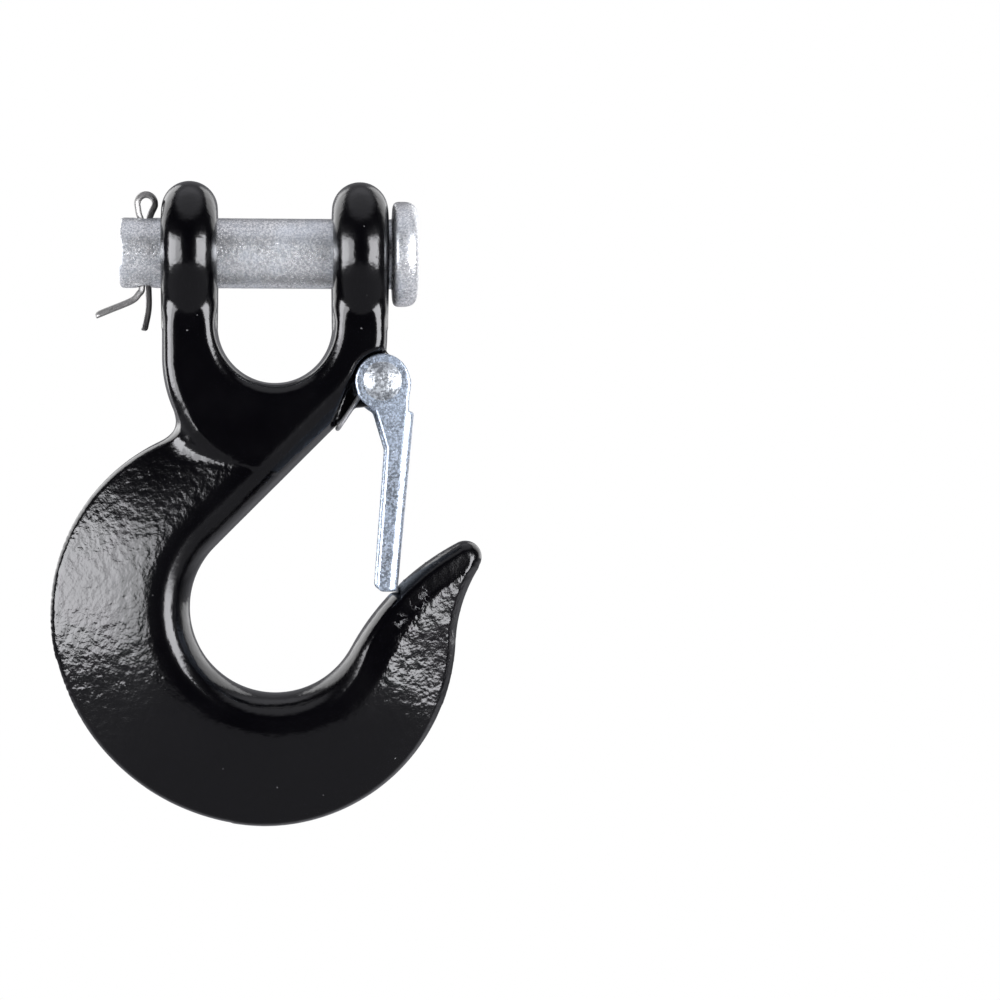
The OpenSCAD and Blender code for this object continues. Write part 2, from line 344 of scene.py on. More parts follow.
def bowl_plan(x, z):
    di, do = rail(x, z, INNER), rail(x, z, OUTER)
    tip = np.hypot(x - 34.67, z + 55.2) < 12
    side = np.where(in_tip(x, z), 1.0, -1.0)
    di = np.where(tip, np.abs(di) * side, di)
    do = np.where(tip, np.abs(do) * side, do)
    phi = np.degrees(np.arctan2(z - BOWL[1], x - BOWL[0]))
    phi = np.where(phi < 40, phi + 360, phi)
    rho = np.hypot(x - 36.6, z + 53.0)
    late = phi > 285
    ridge = ridge_by_angle(phi)
    ridge = np.where(late, smin(ridge, ridge_by_nose(rho), 0.8), ridge)
    start = facet_by_angle(phi)
    start = np.where(late, smin(start, facet_by_nose(rho), 0.5), start)
    soft = turn_by_angle(phi)
    past = np.maximum(di - start, 0)
    drop = slope_by_angle(phi) * (past - soft * (1 - np.exp(-past / soft)))
    h = np.maximum(ridge - drop, 0.9)
    ri, re, power = inner_by_angle(phi), outer_by_angle(phi), outer_power(phi)
    near = smooth(rho, 5.0, 1.0)
    re, power = re + (2.4 - re) * near, power + (2.0 - power) * near
    ui, uo = 1 - di / ri, 1 - do / re
    u = np.maximum(np.maximum(ui, uo), 0)
    power = np.where(uo > ui, power, 2.0)
    return u, h, power, di, do, phi, rho


def bowl_raw(x, y, z):
    u, h, p = bowl_plan(x, z)[:3]
    return (u ** p + (np.abs(y) / h) ** p) ** (1 / p) - 1


FORK_H = 8.8
side_round = soft_table([0, 8, 11, 13, 30, 60], [5.0, 4.6, 2.8, 1.9, 2.2, 2.2], 0.7)
gap_round = soft_table([0, 8, 11, 13, 18, 23, 60], [5.0, 4.6, 2.8, 1.8, 2.0, 2.6, 2.6], 0.7)


def fork_raw(x, y, z):
    drop = np.maximum(-z, 0)
    left = np.where(z > -18.73, x + 20.45, 24.08 - np.hypot(x - 3.63, z + 18.73))
    right = OUT_X - 0.05 - x
    gap = np.where(z > -GAP_DROP, np.abs(x) - GAP, np.hypot(x, z + GAP_DROP) - GAP)
    throat = (SHANK_K - (x - z)) / math.sqrt(2)
    qs, qg = side_round(drop), gap_round(drop)
    lean = 0.085 * np.abs(y) * smooth(drop, 9, 13)
    left, right, gap = left - lean, right - lean, gap - lean
    total = weight = ysum = 0.0
    for d, qx, qy in ((left, qs, qs), (right, qs, qs), (gap, qg, qg), (throat, 5.5, FORK_H)):
        a = np.maximum(1 - d / qx, 0)
        total = total + a * a
        weight = weight + a * a + 1e-6
        ysum = ysum + (a * a + 1e-6) * qy
    qy = ysum / weight
    v = np.maximum(np.abs(y) - (FORK_H - qy), 0) / qy
    return np.sqrt(total + v * v) - 1


def unit(raw, x, y, z, e=0.05):
    """The raw field divided by its slope, close to a distance near its surface."""
    g = raw(x, y, z)
    gx = raw(x + e, y, z) - raw(x - e, y, z)
    gy = raw(x, y + e, z) - raw(x, y - e, z)
    gz = raw(x, y, z + e) - raw(x, y, z - e)
    size = np.sqrt(gx * gx + gy * gy + gz * gz)
    d = g / np.maximum(size / (2 * e), 0.03)
    size = np.maximum(size, 1e-9)
    return d, (gx / size, gy / size, gz / size)


def polygon_distance(x, z, pts):
    best = np.full(np.broadcast(x, z).shape, 1e9)
    odd = np.zeros(best.shape, bool)
    n = len(pts)
    for i in range(n):
        (x0, z0), (x1, z1) = pts[i], pts[(i + 1) % n]
        dx, dz = x1 - x0, z1 - z0
        t = np.clip(((x - x0) * dx + (z - z0) * dz) / (dx * dx + dz * dz), 0, 1)
        best = np.minimum(best, np.hypot(x - x0 - t * dx, z - z0 - t * dz))
        if z0 != z1:
            cross = ((z0 > z) != (z1 > z)) & (x < dx * (z - z0) / (z1 - z0) + x0)
            odd = odd ^ cross
    return np.where(odd, -best, best)


RECESS = [(PIV[0], PIV[1] + 5.3), (PIV[0] - 4.1, PIV[1] + 3.6), (PIV[0] - 6.2, PIV[1] - 0.4), (10.4, -31.2),
          (13.0, -36.0), (28.0, -36.0), (28.0, PIV[1] + 5.3)]
BOSS = [(19.3, -17.0), (20.3, -18.0), (21.9, -19.6), (23.3, -24.4), (19.77, -27.5), (14.6, 14.6 - SHANK_K - 0.2),
        (9.3, 9.3 - SHANK_K + 0.6), (3.3, -30.3), (12.3, -18.2)]


def eye_field(x, y, z):
    q = EYE_T / 2
    # round above, and running straight down to the arm below
    ny, nz = math.cos(math.radians(28)), -math.sin(math.radians(28))
    ay = np.abs(y)
    r = np.where(ay * nz - z * ny > 0, ay * ny + z * nz, np.sqrt(y * y + z * z))
    out = None
    for s in (-1, 1):
        d = np.hypot(np.maximum(r - (EYE_R - q), 0), x - s * EYE_C) - q
        out = d if out is None else np.minimum(out, d)
    return out


def hook_field(x, y, z):
    di = rail(x, z, INNER)
    bowl = unit(bowl_raw, x, y, z)[0]
    half = bowl_plan(x, z)[1]
    over = np.abs(y) - half
    bowl = np.where(over > 0, np.maximum(bowl, 0.75 * over), bowl)
    inside = 24.08 - np.hypot(x - 3.63, z + 18.73)
    fork = unit(fork_raw, x, y, z)[0]
    fork = np.maximum(fork, z + 0.0)
    eye = np.maximum(eye_field(x, y, z), -14.0 - z)
    f = smin(fork, eye, 0.7 * smooth(np.abs(y), 5.0, 8.0))
    # a fillet along the foot of the fork's side, only as wide as the step is high
    width = np.clip(1.3 * (FORK_H - half) - 0.2, 0.0, 5.0) * smooth(di, 5.0, 7.5) * (1 - smooth(inside, 2.0, 4.4))
    f = smin(f, bowl, width * smooth(-z, 24.5, 29.5))
    side = np.minimum(np.hypot(x - PIV[0], z - PIV[1]) - 5.4, polygon_distance(x, z, RECESS))
    f = smax(f, -np.maximum(side, BOSS_H - np.abs(y)), 0.8)
    lug = smin(np.hypot(x - PIV[0], z - PIV[1]) - 4.2, polygon_distance(x, z, BOSS), 1.0)
    lug = smax(lug, np.abs(y) - BOSS_H, 0.5)
    f = smin(f, lug, 0.5)
    seat = np.maximum(np.maximum(18.0 - x, x - 22.3), np.maximum(-61.65 - z, z + 57.0))
    f = smax(f, -seat, 0.45)
    f = smax(f, PIN_R + 0.08 - np.hypot(y, z), 0.7)
    f = smax(f, RIVET_R + 0.08 - np.hypot(x - PIV[0], z - PIV[1]), 0.2)
    return f


def along_edge(x, z):
    """Distance along the outer edge, for marks that repeat along it."""
    return np.arctan2(z + 65.0, -(x + 3.0)) * 36.5


hv, hq = solid_from(hook_field, (-41.0, -13.1, -104.6), (38.2, 13.1, 13.1), 0.4)
hn = vertex_normals(hv, hq)
hu, hh, hp, hdi, hdo, hphi, hrho = bowl_plan(hv[:, 0], hv[:, 2])
on_bowl = smooth(-hv[:, 2], 33, 40) * smooth(hdi, 3.0, 6.5)
facet = on_bowl * smooth(hdi, 5.6, 7.4) * smooth(hdo, 0.2, 1.4)
facet = np.maximum(facet, smooth(hphi, 335, 345) * smooth(hdi, 4.6, 5.8) * smooth(hdo, 1.4, 2.0) * on_bowl)
left_facet = facet * (1 - smooth(hphi, 205, 235))
tip_facet = facet * smooth(hphi, 310, 335)
rough = np.clip(0.18 + 0.55 * left_facet + 1.0 * tip_facet + 0.12 * facet, 0, 1)
# hammered skin of the forging
bump = 0.034 * noise(hv, 3.0, 3) + 0.036 * noise(hv, 1.6, 9)
hv = hv + hn * (bump * rough)[:, None]
# long, shallow waves over the rest
hv = hv + hn * (0.02 * noise(hv, 9.0, 21) * (1 - rough))[:, None]
# little nicks along the trimmed edge, on the back of the bowl
run = along_edge(hv[:, 0], hv[:, 2])
nick = np.maximum(0, np.sin(run * 2 * math.pi / 1.25 + 2.6 * noise(hv, 4.0, 4))) ** 2
nick = nick * np.clip(0.6 + 1.3 * noise(hv, 2.3, 14), 0.0, 1.4)
where = smooth(hdo, 1.5, 0.2) * smooth(hphi, 146, 155) * (1 - smooth(hphi, 205, 214))
hv = hv - hn * (0.11 * nick * where)[:, None]
# rubbed spots on the tip, where the latch's end strikes
rub = np.zeros(len(hv))
for sx, sz, r in ((28.9, -56.6, 1.3), (26.0, -63.2, 2.0), (27.2, -61.4, 1.2), (22.6, -66.6, 1.6)):
    rub = np.maximum(rub, smooth(np.hypot(hv[:, 0] - sx, hv[:, 2] - sz), r, r * 0.3))
rub = rub * smooth(np.abs(hv[:, 1]), 3.5, 5.0)
forging = mesh_object("hook_forging", hv, hq, {"hammer": rough, "edge": where, "rub": rub})


# ---------------------------------------------------------------------------
# clevis pin
# ---------------------------------------------------------------------------
def pin_field(x, y, z):
    r = np.hypot(y, z)
    shank = smax(r - PIN_R, -28.0 - x, 0.9)
    shank = np.maximum(shank, x - 24)
    hx0, hx1, hr = OUT_X + 0.9, OUT_X + 5.4, 9.55
    head = smax(smax(r - hr, x - hx1, 2.6), hx0 - x, 1.1)
    f = smin(shank, head, 0.5)
    f = smax(f, 1.6 - np.hypot(x - COTTER_X, y), 0.5)
    return f


pv, pq = solid_from(pin_field, (-28.0, -9.6, -9.6), (26.0, 9.6, 9.6), 0.3)
pn = vertex_normals(pv, pq)
pv = pv + pn * (0.018 * noise(pv, 2.4, 5) + 0.008 * noise(pv, 0.9, 8))[:, None]
clevis = mesh_object("clevis_pin_visual", pv, pq)


# ---------------------------------------------------------------------------
# latch: folded sheet, two ears and a web
# ---------------------------------------------------------------------------
WEB_A, WEB_B = np.array([22.0, -61.3]), np.array([25.0, -29.0])
WEB_D = (WEB_B - WEB_A) / np.linalg.norm(WEB_B - WEB_A)
LATCH_SIDE = ([(PIV[0] - 4.0, PIV[1] - 2.5), (17.96, -28.57), (20.06, -35.48), (18.3, -59.9)]
              + [(19.5 + 1.2 * math.cos(math.radians(a)), -60.1 + 1.2 * math.sin(math.radians(a)))
                 for a in range(180, 271, 15)]
              + [(22.6, -61.3), (25.6, -29.0), (24.05, -28.8), (PIV[0] + 4.78, PIV[1])])


def latch_field(x, y, z):
    side = smin(np.hypot(x - PIV[0], z - PIV[1]) - 4.95, polygon_distance(x, z, LATCH_SIDE), 1.2)
    inward = (x - WEB_A[0]) * WEB_D[1] - (z - WEB_A[1]) * WEB_D[0]
    # inward is positive outside the web's outer face
    ay = np.abs(y)
    half = LATCH_W / 2
    ox, oy = inward + 1.8, ay - (half - 1.8)
    outer = np.where((ox > 0) & (oy > 0), np.hypot(ox, oy) - 1.8, np.maximum(ox, oy) - 1.8)
    px, py = inward + SHEET + 0.5, ay - (EAR_IN - 0.5)
    pocket = np.where((px > 0) & (py > 0), np.hypot(px, py) - 0.5, np.maximum(px, py) - 0.5)
    f = smax(outer, -pocket, 0.25)
    f = smax(f, side, 0.55)
    gap = np.maximum(-28.9 - z, ay - EAR_IN)
    f = smax(f, -gap, 0.35)
    f = smax(f, RIVET_R + 0.02 - np.hypot(x - PIV[0], z - PIV[1]), 0.1)
    return f


lv, lq = solid_from(latch_field, (14.4, -8.15, -61.4), (25.7, 8.15, -18.5), 0.2)
ln = vertex_normals(lv, lq)
lv = lv + ln * (0.012 * noise(lv, 3.5, 31) + 0.005 * noise(lv, 1.0, 32))[:, None]
latch = mesh_object("latch_channel", lv, lq)


# ---------------------------------------------------------------------------
# rivet with its two domed heads
# ---------------------------------------------------------------------------
def rivet_mesh():
    half, hr, hh = LATCH_W / 2, 3.5, 1.4
    dome = (hr * hr + hh * hh) / (2 * hh)
    profile = []
    rs = np.linspace(0, 1, 22) ** 0.8 * (hr - 0.16)
    for r in rs:
        y = half + hh - dome + math.sqrt(dome * dome - r * r)
        y -= 0.20 * math.exp(-((r / 1.15) ** 2))
        profile.append((r, y))
    last = profile[-1]
    profile += [(hr - 0.05, last[1] - 0.12), (hr, half + 0.12), (hr - 0.04, half + 0.02), (hr - 0.2, half), (RIVET_R, half), (RIVET_R, half - 2.5), (RIVET_R, 0.0)]
    full = profile + [(r, -y) for r, y in reversed(profile[:-1])]
    n = 72
    verts, faces = [], []
    for i, (r, y) in enumerate(full):
        if r < 1e-9:
            verts.append((PIV[0], -y, PIV[1]))
        else:
            for k in range(n):
                a = 2 * math.pi * k / n
                rr = r * (1 + 0.008 * math.sin(3 * a + 0.7) + 0.006 * math.sin(7 * a))  if r > RIVET_R + 0.05 or abs(y) > half else r
                verts.append((PIV[0] + rr * math.cos(a), -y, PIV[1] + rr * math.sin(a)))
    starts, s = [], 0
    for r, _ in full:
        starts.append(s)
        s += 1 if r < 1e-9 else n
    for i in range(len(full) - 1):
        a0, b0 = starts[i], starts[i + 1]
        for k in range(n):
            k1 = (k + 1) % n
            if full[i][0] < 1e-9:
                faces.append((a0, b0 + k, b0 + k1))
            elif full[i + 1][0] < 1e-9:
                faces.append((a0 + k, b0, a0 + k1))
            else:
                faces.append((a0 + k, b0 + k, b0 + k1, a0 + k1))
    v = np.array(verts)
    bump = noise(v, 1.1, 41) * 0.05 + noise(v, 0.55, 42) * 0.02
    head = np.abs(v[:, 1]) > half + 0.2
    v[:, 1] += np.sign(v[:, 1]) * np.where(head, bump - 0.05, 0)
    return mesh_object("rivet", v, faces)


rivet = rivet_mesh()


# ---------------------------------------------------------------------------
# wires: the split pin and the spring
# ---------------------------------------------------------------------------
def catmull(points, per):
    p = np.array(points, float)
    out = []
    for i in range(len(p) - 1):
        p0, p1, p2, p3 = p[max(i - 1, 0)], p[i], p[i + 1], p[min(i + 2, len(p) - 1)]
        for k in range(per):
            t = k / per
            out.append(0.5 * (2 * p1 + (p2 - p0) * t + (2 * p0 - 5 * p1 + 4 * p2 - p3) * t * t
                              + (3 * p1 - p0 - 3 * p2 + p3) * t ** 3))
    out.append(p[-1])
    return np.array(out)


def sweep(name, path, section, first):
    """section(i, share) gives points in the path's two cross axes. The first axis starts close to first."""
    path = np.asarray(path, float)
    n = len(path)
    d = np.gradient(path, axis=0)
    d /= np.linalg.norm(d, axis=1, keepdims=True)
    u = np.array(first, float)
    rings = []
    for i in range(n):
        u = u - d[i] * u.dot(d[i])
        u /= np.linalg.norm(u)
        w = np.cross(d[i], u)
        rings.append([path[i] + a * u + b * w for a, b in section(i, i / (n - 1))])
    m = len(rings[0])
    verts = [p for r in rings for p in r]
    faces = []
    for i in range(n - 1):
        for k in range(m):
            k1 = (k + 1) % m
            faces.append((i * m + k, i * m + k1, (i + 1) * m + k1, (i + 1) * m + k))
    c0, c1 = len(verts), len(verts) + 1
    verts += [np.mean(rings[0], 0), np.mean(rings[-1], 0)]
    for k in range(m):
        k1 = (k + 1) % m
        faces.append((c0, k1, k))
        faces.append((c1, (n - 1) * m + k, (n - 1) * m + k1))
    return mesh_object(name, verts, faces)


COTTER = ([(-32.2, -11.9), (-29.3, -10.7), (-26.6, -9.6), (-25.1, -8.8), (-24.3, -7.9),
           (-23.6, -6.9), (-23.55, -5), (-23.55, 0), (-23.6, 5), (-23.75, 6.3), (-24.1, 7.3)]
          + [(-23.3 + 1.05 * math.cos(math.radians(a)), 8.9 + 1.15 * math.sin(math.radians(a)))
             for a in range(200, -21, -20)]
          + [(-22.85, 7.4), (-23.2, 6.3), (-23.4, 5), (-23.45, 0), (-23.45, -5), (-23.4, -7),
             (-23.35, -9), (-23.45, -10.6), (-23.75, -12.2), (-24.15, -14)])


def split_pin():
    path = catmull([(x, 0, z) for x, z in COTTER], 6)
    n = len(path)
    r = LEG_T + 0.08

    def section(i, share):
        # the ends are cut off with a slight round
        k = min(i, n - 1 - i)
        s = 1 - 0.30 * max(0, 1 - k / 2.0) ** 2
        pts = [(LEG_T * s * math.sin(math.radians(a)), r * s * math.cos(math.radians(a)))
               for a in range(0, 181, 12)]
        # the flat side's corners are softened
        pts[0] = (0.06, pts[0][1] * 0.99)
        pts[-1] = (0.06, pts[-1][1] * 0.99)
        return [(a, b) for a, b in pts] + [(0.0, -r * s * 0.93), (0.0, 0.0), (0.0, r * s * 0.93)]

    d0 = np.array([path[1][0] - path[0][0], 0, path[1][2] - path[0][2]])
    d0 /= np.linalg.norm(d0)
    outward = np.array([-d0[2], 0, d0[0]])
    return sweep("split_pin", path, section, outward)


cotter = split_pin()

COIL_R = RIVET_R + 0.1 + WIRE / 2 + 0.05
Y_IN = BOSS_H + WIRE / 2 + 0.08
Y_OUT = EAR_IN - WIRE / 2 - 0.05
BR = (11.45, 11.45 - SHANK_K - 0.75)
TURN = 871


def spring_mesh():
    half = [(BR[0], 0, BR[1]), (BR[0], 1.6, BR[1]), (BR[0], 2.9, BR[1]), (BR[0] + 0.15, 3.6, BR[1] + 0.22),
            (BR[0] + 0.6, Y_IN, BR[1] + 0.9), (13.6, Y_IN, -28.5), (15.2, Y_IN, -25.95), (16.3, Y_IN, -23.7)]
    for i in range(53):
        a = math.radians(150 - (TURN + 5) * i / 52)
        half.append((PIV[0] + COIL_R * math.cos(a), Y_IN + (Y_OUT - Y_IN) * i / 52, PIV[1] + COIL_R * math.sin(a)))
    half += [(PIV[0] + COIL_R + 0.1, Y_OUT, -26), (22.35, Y_OUT, -29.5), (22.3, Y_OUT, -33.5)]
    full = [(x, -y, z) for x, y, z in reversed(half[1:])] + half
    path = catmull(full, 4)
    n = len(path)

    def section(i, share):
        k = min(i, n - 1 - i)
        s = 1 - 0.4 * max(0, 1 - k / 2.0) ** 2
        return [(WIRE / 2 * s * math.cos(2 * math.pi * a / 14), WIRE / 2 * s * math.sin(2 * math.pi * a / 14))
                for a in range(14)]

    return sweep("spring", path, section, (1, 0.1, 0.05))


spring = spring_mesh()


# ---------------------------------------------------------------------------
# materials
# ---------------------------------------------------------------------------
class Nodes:
    """Short hand for building a node tree."""

    def __init__(self, material):
        material.use_nodes = True
        self.t = material.node_tree
        for n in list(self.t.nodes):
            self.t.nodes.remove(n)
        self.out = self.t.nodes.new("ShaderNodeOutputMaterial")
        self.bsdf = self.t.nodes.new("ShaderNodeBsdfPrincipled")
        self.link(self.bsdf.outputs[0], self.out.inputs["Surface"])
        self.co = self.t.nodes.new("ShaderNodeTexCoord").outputs["Object"]

    def link(self, a, b):
        self.t.links.new(a, b)

    def put(self, socket, value):
        if hasattr(value, "default_value") or hasattr(value, "is_linked"):
            self.link(value, socket)
        else:
            socket.default_value = value

    def noise(self, scale, detail=3.0, rough=0.5, co=None, distortion=0.0):
        n = self.t.nodes.new("ShaderNodeTexNoise")
        n.inputs["Scale"].default_value = scale
        n.inputs["Detail"].default_value = detail
        n.inputs["Roughness"].default_value = rough
        n.inputs["Distortion"].default_value = distortion
        self.link(co or self.co, n.inputs["Vector"])
        return n.outputs["Fac"]

    def cells(self, scale, feature="F1", co=None, randomness=1.0, output="Distance"):
        n = self.t.nodes.new("ShaderNodeTexVoronoi")
        n.feature = feature
        n.inputs["Scale"].default_value = scale
        n.inputs["Randomness"].default_value = randomness
        self.link(co or self.co, n.inputs["Vector"])
        return n.outputs[output]

    def stretch(self, sx, sy, sz, co=None, rotation=(0, 0, 0)):
        n = self.t.nodes.new("ShaderNodeMapping")
        n.inputs["Scale"].default_value = (sx, sy, sz)
        n.inputs["Rotation"].default_value = rotation
        self.link(co or self.co, n.inputs["Vector"])
        return n.outputs[0]

    def math(self, op, a, b=0.0, c=0.0, clamp=False):
        n = self.t.nodes.new("ShaderNodeMath")
        n.operation = op
        n.use_clamp = clamp
        self.put(n.inputs[0], a)
        self.put(n.inputs[1], b)
        self.put(n.inputs[2], c)
        return n.outputs[0]

    def span(self, value, a, b, lo=0.0, hi=1.0):
        n = self.t.nodes.new("ShaderNodeMapRange")
        n.interpolation_type = "SMOOTHSTEP"
        self.put(n.inputs["Value"], value)
        n.inputs["From Min"].default_value = a
        n.inputs["From Max"].default_value = b
        n.inputs["To Min"].default_value = lo
        n.inputs["To Max"].default_value = hi
        return n.outputs[0]

    def mix(self, share, a, b):
        n = self.t.nodes.new("ShaderNodeMix")
        n.data_type = "RGBA"
        self.put(n.inputs[0], share)
        for socket, v in ((n.inputs[6], a), (n.inputs[7], b)):
            if isinstance(v, tuple):
                socket.default_value = (*v, 1.0)
            else:
                self.link(v, socket)
        return n.outputs[2]

    def attribute(self, name):
        n = self.t.nodes.new("ShaderNodeAttribute")
        n.attribute_name = name
        return n.outputs["Fac"]

    def bump(self, height, distance, strength=1.0, normal=None):
        n = self.t.nodes.new("ShaderNodeBump")
        n.inputs["Strength"].default_value = strength
        n.inputs["Distance"].default_value = distance
        self.link(height, n.inputs["Height"])
        if normal is not None:
            self.link(normal, n.inputs["Normal"])
        return n.outputs[0]


def black_paint():
    m = bpy.data.materials.new("black_paint")
    k = Nodes(m)
    hammer = k.attribute("hammer")
    cloud = k.noise(60, 4, 0.6)
    # thin dust: a few pale specks stuck in the paint
    speck = k.span(k.cells(340), 0.060, 0.024)
    seldom = k.span(k.noise(150, 2, 0.5), 0.52, 0.58)
    dust = k.math("MULTIPLY", speck, seldom)
    # bare scratches in the rubbed spots
    line = k.math("ABSOLUTE", k.math("SUBTRACT", k.noise(430, 3, 0.65, distortion=0.6), 0.5))
    scratch = k.math("MULTIPLY", k.span(line, 0.020, 0.006), k.attribute("rub"))
    base = k.mix(cloud, (0.0003, 0.00025, 0.0006), (0.0007, 0.0006, 0.0012))
    base = k.mix(k.math("MULTIPLY", dust, 0.6), base, (0.16, 0.16, 0.165))
    base = k.mix(k.math("MULTIPLY", scratch, 0.7), base, (0.17, 0.17, 0.175))
    k.link(base, k.bsdf.inputs["Base Color"])
    r = k.math("ADD", k.span(cloud, 0.3, 0.7, 0.13, 0.20), k.math("MULTIPLY", hammer, 0.05))
    r = k.math("ADD", r, k.math("MULTIPLY", k.math("MAXIMUM", dust, scratch), 0.4))
    k.link(r, k.bsdf.inputs["Roughness"])
    k.bsdf.inputs["IOR"].default_value = 1.52
    k.bsdf.inputs["Specular IOR Level"].default_value = 0.486
    # orange peel all over, hammered skin where the forging is rough
    coarse = k.noise(480, 2.0, 0.5)
    peel = k.noise(800, 2.0, 0.5)
    fine = k.noise(1900, 2.0, 0.5)
    skin = k.math("ADD", k.math("MULTIPLY", coarse, 1.7), k.math("MULTIPLY", peel, 1.6))
    skin = k.math("ADD", skin, k.math("MULTIPLY", fine, 0.30))
    height = k.math("MULTIPLY", skin, k.math("MULTIPLY_ADD", hammer, 1.05, 0.06))
    height = k.math("ADD", height, k.math("MULTIPLY", dust, 0.5))
    height = k.math("SUBTRACT", height, k.math("MULTIPLY", scratch, 0.4))
    k.link(k.bump(height, 0.0001, 1.0), k.bsdf.inputs["Normal"])
    return m


def zinc(name, tint, low, high, grain, depth, blotch, metal):
    m = bpy.data.materials.new(name)
    k = Nodes(m)
    cloud = k.noise(120, 4, 0.6)
    spangle = k.noise(grain, 2.5, 0.7)
    fine = k.noise(grain * 2.2, 2, 0.6)
    dark = tuple(c * (1 - blotch) for c in tint)
    pale = tuple(min(1, c * (1 + 0.62 * blotch)) for c in tint)
    base = k.mix(k.span(spangle, 0.42, 0.60), dark, pale)
    base = k.mix(k.span(cloud, 0.35, 0.75, 0.0, 0.5), base, tuple(c * f for c, f in zip(tint, (0.90, 0.94, 1.0))))
    # tiny dark pits in the plating
    pits = k.math("MULTIPLY", k.span(k.cells(grain * 0.5), 0.22, 0.10), k.span(k.noise(grain * 0.22, 2), 0.46, 0.58))
    base = k.mix(k.math("MULTIPLY", pits, 0.75), base, tuple(c * 0.22 for c in tint))
    k.link(base, k.bsdf.inputs["Base Color"])
    k.bsdf.inputs["Metallic"].default_value = metal
    r = k.math("ADD", k.span(cloud, 0.3, 0.7, low, high), k.math("MULTIPLY", fine, 0.08))
    k.link(r, k.bsdf.inputs["Roughness"])
    height = k.math("ADD", spangle, k.math("MULTIPLY", fine, 0.45))
    height = k.math("SUBTRACT", height, k.math("MULTIPLY", pits, 0.6))
    k.link(k.bump(height, depth, 1.0), k.bsdf.inputs["Normal"])
    return m


def wire_steel(name, tint, axis):
    m = bpy.data.materials.new(name)
    k = Nodes(m)
    scale = {"x": (200, 3200, 3200), "z": (3200, 3200, 200)}[axis]
    drawn = k.noise(1.0, 3, 0.6, k.stretch(*scale))
    cloud = k.noise(400, 3, 0.6)
    base = k.mix(k.span(drawn, 0.35, 0.65), tuple(c * 0.72 for c in tint), tint)
    base = k.mix(k.span(cloud, 0.55, 0.8, 0, 0.5), base, tuple(c * 0.55 for c in tint))
    k.link(base, k.bsdf.inputs["Base Color"])
    k.bsdf.inputs["Metallic"].default_value = 0.7
    k.link(k.span(cloud, 0.3, 0.7, 0.34, 0.48), k.bsdf.inputs["Roughness"])
    k.link(k.bump(drawn, 0.000012, 1.0), k.bsdf.inputs["Normal"])
    return m


paint = black_paint()
pin_zinc = zinc("zinc_pin", (0.90, 0.93, 0.97), 0.20, 0.27, 2600, 0.00007, 0.45, 0.74)
sheet_zinc = zinc("zinc_sheet", (0.53, 0.60, 0.70), 0.28, 0.36, 2900, 0.00005, 0.60, 0.92)
rivet_zinc = zinc("zinc_rivet", (0.47, 0.495, 0.52), 0.36, 0.46, 1500, 0.00010, 0.55, 0.85)
steel = wire_steel("bare_steel_wire", (0.28, 0.276, 0.27), "z")
coil_steel = wire_steel("spring_wire", (0.42, 0.42, 0.426), "x")

for obj, mat in ((forging, paint), (clevis, pin_zinc), (latch, sheet_zinc), (rivet, rivet_zinc),
                 (cotter, steel), (spring, coil_steel)):
    obj.data.materials.append(mat)

# each piece takes the place of its CAD node
for obj, node, body, slot in ((forging, "hook_body", "hook", "black_paint"), (clevis, "clevis_pin", "pin", "zinc_pin"),
                              (cotter, "cotter_pin", "pin", "bare_steel_wire"), (latch, "latch", "latch", "zinc_sheet"),
                              (rivet, "latch_rivet", "latch", "zinc_rivet")):
    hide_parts(node)
    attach(obj, body)
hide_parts("latch_spring")
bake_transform(spring)

# ---------------------------------------------------------------------------
# floor, light and camera
# ---------------------------------------------------------------------------
FLOOR_Z = -0.30
rings, around = 24, 96
floor_v, floor_f = [(0, 0, FLOOR_Z)], []
for i in range(1, rings + 1):
    for k in range(around):
        a = 2 * math.pi * k / around
        r = 0.95 * i / rings
        floor_v.append((r * math.cos(a), r * math.sin(a), FLOOR_Z))
for k in range(around):
    floor_f.append((0, 1 + k, 1 + (k + 1) % around))
for i in range(rings - 1):
    for k in range(around):
        a, b = 1 + i * around, 1 + (i + 1) * around
        floor_f.append((a + k, b + k, b + (k + 1) % around, a + (k + 1) % around))
floor_mesh = bpy.data.meshes.new("floor")
floor_mesh.from_pydata(floor_v, [], floor_f)
floor = bpy.data.objects.new("floor", floor_mesh)
bpy.context.scene.collection.objects.link(floor)
fm = bpy.data.materials.new("pale_floor")
fn = Nodes(fm)
fn.link(fn.mix(fn.noise(6, 3, 0.5), (0.86, 0.86, 0.86), (0.90, 0.90, 0.90)), fn.bsdf.inputs["Base Color"])
fn.bsdf.inputs["Roughness"].default_value = 0.9
gone = fn.t.nodes.new("ShaderNodeBsdfTransparent")
blend = fn.t.nodes.new("ShaderNodeMixShader")
length = fn.t.nodes.new("ShaderNodeVectorMath")
length.operation = "LENGTH"
flat = fn.stretch(1, 1, 0)
fn.link(flat, length.inputs[0])
fn.link(fn.span(length.outputs["Value"], 0.35, 0.92), blend.inputs[0])
fn.link(fn.bsdf.outputs[0], blend.inputs[1])
fn.link(gone.outputs[0], blend.inputs[2])
fn.link(blend.outputs[0], fn.out.inputs["Surface"])
floor.data.materials.append(fm)
floor.visible_glossy = False

MIDDLE = Vector((-0.002, 0.0, -0.045))


def direction(azimuth, elevation):
    """From the object towards a light; azimuth 0 is the camera's side, negative to its left."""
    a, e = math.radians(azimuth), math.radians(elevation)
    return Vector((math.sin(a) * math.cos(e), -math.cos(a) * math.cos(e), math.sin(e)))


